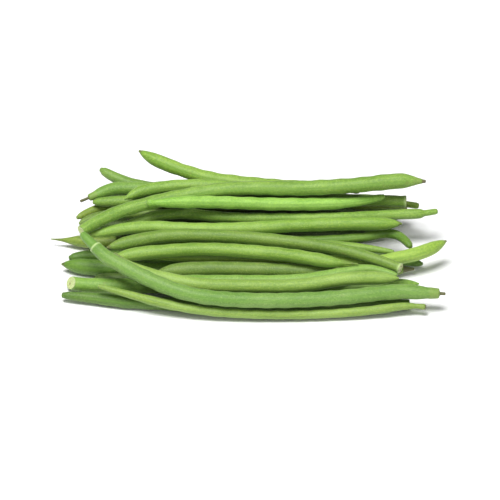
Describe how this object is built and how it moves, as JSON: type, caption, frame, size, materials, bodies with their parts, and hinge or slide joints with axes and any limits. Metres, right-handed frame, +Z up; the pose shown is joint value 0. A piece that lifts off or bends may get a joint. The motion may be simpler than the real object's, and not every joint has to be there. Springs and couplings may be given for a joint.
{
  "type": "green bean bundle",
  "caption": "Loose bundle of whole fresh green beans, slim curved pods lying side by side in a low heap.",
  "frame": {"origin": "middle of the bundle's bounding box, on the surface that it lies on", "axes": "+X along the pods, +Y towards the higher back of the heap, +Z up"},
  "size_m": [0.1824, 0.1012, 0.0363],
  "materials": {
    "fresh": "satin plant skin",
    "pale": "satin plant skin",
    "lime": "satin plant skin",
    "deep": "satin plant skin",
    "olive": "satin plant skin"
  },
  "bodies": {
    "root": {"pod_floor_back": "deep", "pod_floor_rear": "deep", "pod_floor_rear_inner": "fresh", "pod_floor_middle_rear": "fresh", "pod_long_tail": "olive", "pod_floor_middle": "deep", "pod_left_low_rear": "deep", "pod_left_low_middle": "deep", "pod_floor_front_inner": "fresh", "pod_left_low_front": "pale", "pod_front_low": "deep", "pod_front_slim": "lime", "pod_inner_back": "fresh", "pod_inner_rear": "fresh", "pod_inner_rear_middle": "deep", "pod_left_sliver": "fresh", "pod_inner_middle": "deep", "pod_hooked": "deep", "pod_behind_broad": "fresh", "pod_lime": "lime", "pod_second_low": "fresh", "pod_under_broad": "pale", "pod_inner_upper": "deep", "pod_olive": "olive", "pod_rear_cut": "fresh", "pod_left_upper_slim": "fresh", "pod_left_upper_broad": "pale", "pod_left_upper_pointed": "fresh", "pod_middle_rear": "fresh", "pod_middle": "fresh", "pod_broad": "fresh", "pod_below_broad": "fresh", "pod_raised_tail": "fresh", "pod_upper_middle": "pale", "pod_long_rear": "fresh", "pod_front_second": "lime", "pod_front_long": "pale"}
  },
  "joints": []
}
